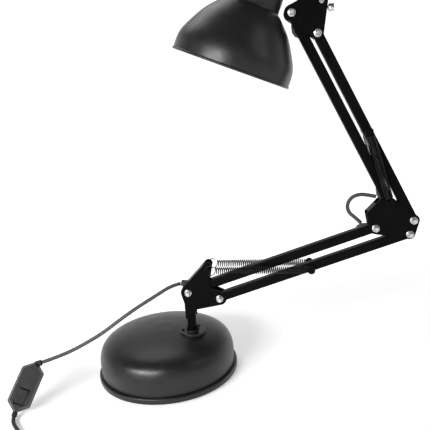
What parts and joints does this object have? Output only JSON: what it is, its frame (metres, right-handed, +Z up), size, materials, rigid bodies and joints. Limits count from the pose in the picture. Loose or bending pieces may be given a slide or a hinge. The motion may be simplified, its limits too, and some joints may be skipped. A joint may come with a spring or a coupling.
{
  "type": "swing arm desk lamp",
  "caption": "Desk lamp with a weighted round base, a swivelling spring-balanced parallel arm and a tilting bell shade, with its mains lead, inline switch and plug.",
  "frame": {"origin": "centre of the underside of the round base", "axes": "+Z up, +X towards the elbow, -Y towards the side with the nuts; the arm folds parallel to XZ"},
  "size_m": [0.5363, 0.3517, 0.5729],
  "materials": {
    "black_powder_coat": "satin powder coat with a fine grain",
    "zinc_plated_steel": "bright zinc plate",
    "spring_steel": "dark oiled wire",
    "cast_iron_weight": "rough cast",
    "pad_rubber": "matt",
    "cord_sheath": "matt twin-core sheath",
    "black_plastic": "fine texture",
    "holder_plastic": "moulded",
    "brass": "plain"
  },
  "bodies": {
    "base": {"foot_pad": "pad_rubber", "base_ring": "black_powder_coat", "base_weight": "cast_iron_weight", "base_cover": "black_powder_coat", "post_flange": "black_powder_coat", "flange_screws": "zinc_plated_steel", "post_bush": "black_plastic", "lead_cord": "cord_sheath", "tail_cord": "cord_sheath", "plug_cord": "cord_sheath", "cord_coil": "cord_sheath", "switch_top_shell": "black_plastic", "switch_bottom_shell": "black_plastic", "switch_sleeves": "black_plastic", "plug_body": "black_plastic", "plug_pins": "zinc_plated_steel"},
    "post": {"post_rod": "black_powder_coat", "lower_bracket": "black_powder_coat", "lower_bracket_rivets": "zinc_plated_steel", "lower_pivot_bolts": "zinc_plated_steel", "lower_pivot_nuts_and_washers": "zinc_plated_steel", "cord_outlet": "black_plastic", "lower_springs": "spring_steel"},
    "lower_top_tube": {"lower_arm_top_tube": "black_powder_coat", "lower_arm_top_tube_plugs": "black_plastic", "lower_arm_gland": "black_plastic", "elbow_cord_lower": "cord_sheath"},
    "lower_bottom_tube": {"lower_arm_bottom_tube": "black_powder_coat", "lower_arm_bottom_tube_plugs": "black_plastic", "lower_spring_pin": "zinc_plated_steel"},
    "elbow": {"elbow_bracket": "black_powder_coat", "elbow_spring_bolt": "zinc_plated_steel", "elbow_pivot_bolts": "zinc_plated_steel", "elbow_pivot_nuts_and_washers": "zinc_plated_steel", "elbow_cord_upper": "cord_sheath", "upper_springs": "spring_steel"},
    "upper_back_tube": {"upper_arm_back_tube": "black_powder_coat", "upper_arm_back_tube_plugs": "black_plastic", "upper_arm_glands": "black_plastic"},
    "upper_front_tube": {"upper_arm_front_tube": "black_powder_coat", "upper_arm_front_tube_plugs": "black_plastic", "upper_spring_pin": "zinc_plated_steel"},
    "head_plate": {"head_bracket": "black_powder_coat", "head_socket": "black_powder_coat", "socket_fasteners": "zinc_plated_steel", "head_pivot_bolts": "zinc_plated_steel", "head_pivot_nuts_and_washers": "zinc_plated_steel"},
    "head_post": {"head_stem": "zinc_plated_steel", "head_cord": "cord_sheath"},
    "lamp_head": {"shade": "black_powder_coat", "shade_cap": "black_powder_coat", "shade_fork": "black_powder_coat", "fork_fasteners": "zinc_plated_steel", "lampholder_shell": "holder_plastic", "lampholder_contacts": "brass", "nipple_and_nut": "brass"},
    "knob": {"tilt_knob": "black_plastic"},
    "rocker": {"switch_rocker": "black_plastic"}
  },
  "joints": [
    {"name": "post_swivel", "type": "hinge", "parent": "base", "child": "post", "pos_m": [0.0418, -0.0141, 0.08], "axis": [0, 0, 1], "range_deg": [-90, 90], "deforming": ["lead_cord"]},
    {"name": "lower_arm", "type": "hinge", "parent": "post", "child": "lower_top_tube", "pos_m": [0.0418, -0.0141, 0.1231], "axis": [0, -1, 0], "range_deg": [-13.5, 28], "deforming": ["lower_springs"]},
    {"name": "lower_link", "type": "hinge", "parent": "post", "child": "lower_bottom_tube", "pos_m": [0.084, -0.0141, 0.113], "axis": [0, -1, 0], "range_deg": [-13.5, 28]},
    {"name": "elbow_level", "type": "hinge", "parent": "lower_top_tube", "child": "elbow", "pos_m": [0.29031, -0.0141, 0.19955], "axis": [0, -1, 0], "range_deg": [-28, 13.5], "deforming": ["elbow_cord_lower"]},
    {"name": "upper_arm", "type": "hinge", "parent": "elbow", "child": "upper_back_tube", "pos_m": [0.30771, -0.0141, 0.23285], "axis": [0, -1, 0], "range_deg": [-13, 5], "deforming": ["elbow_cord_upper", "upper_springs"]},
    {"name": "upper_link", "type": "hinge", "parent": "elbow", "child": "upper_front_tube", "pos_m": [0.33721, -0.0141, 0.20725], "axis": [0, -1, 0], "range_deg": [-13, 5]},
    {"name": "head_level", "type": "hinge", "parent": "upper_back_tube", "child": "head_plate", "pos_m": [0.197, -0.0141, 0.46811], "axis": [0, -1, 0], "range_deg": [-5, 13]},
    {"name": "head_swivel", "type": "hinge", "parent": "head_plate", "child": "head_post", "pos_m": [0.222, -0.0141, 0.478], "axis": [0, 0, 1], "range_deg": [-100, 100]},
    {"name": "head_tilt", "type": "hinge", "parent": "head_post", "child": "lamp_head", "pos_m": [0.214, -0.0141, 0.509], "axis": [0, 1, 0], "range_deg": [0, 80], "deforming": ["head_cord"]},
    {"name": "knob_turn", "type": "hinge", "parent": "lamp_head", "child": "knob", "pos_m": [0.214, -0.0141, 0.509], "axis": [0, 1, 0], "continuous": true},
    {"name": "rocker_tilt", "type": "hinge", "parent": "base", "child": "rocker", "pos_m": [-0.17011, -0.11164, 0.02671], "axis": [0.8758, 0.1238, -0.4665], "range_deg": [0, 10]}
  ],
  "couplings": [
    {"joint": "lower_link", "follows": "lower_arm", "ratio": 1},
    {"joint": "elbow_level", "follows": "lower_arm", "ratio": -1},
    {"joint": "upper_link", "follows": "upper_arm", "ratio": 1},
    {"joint": "head_level", "follows": "upper_arm", "ratio": -1}
  ]
}
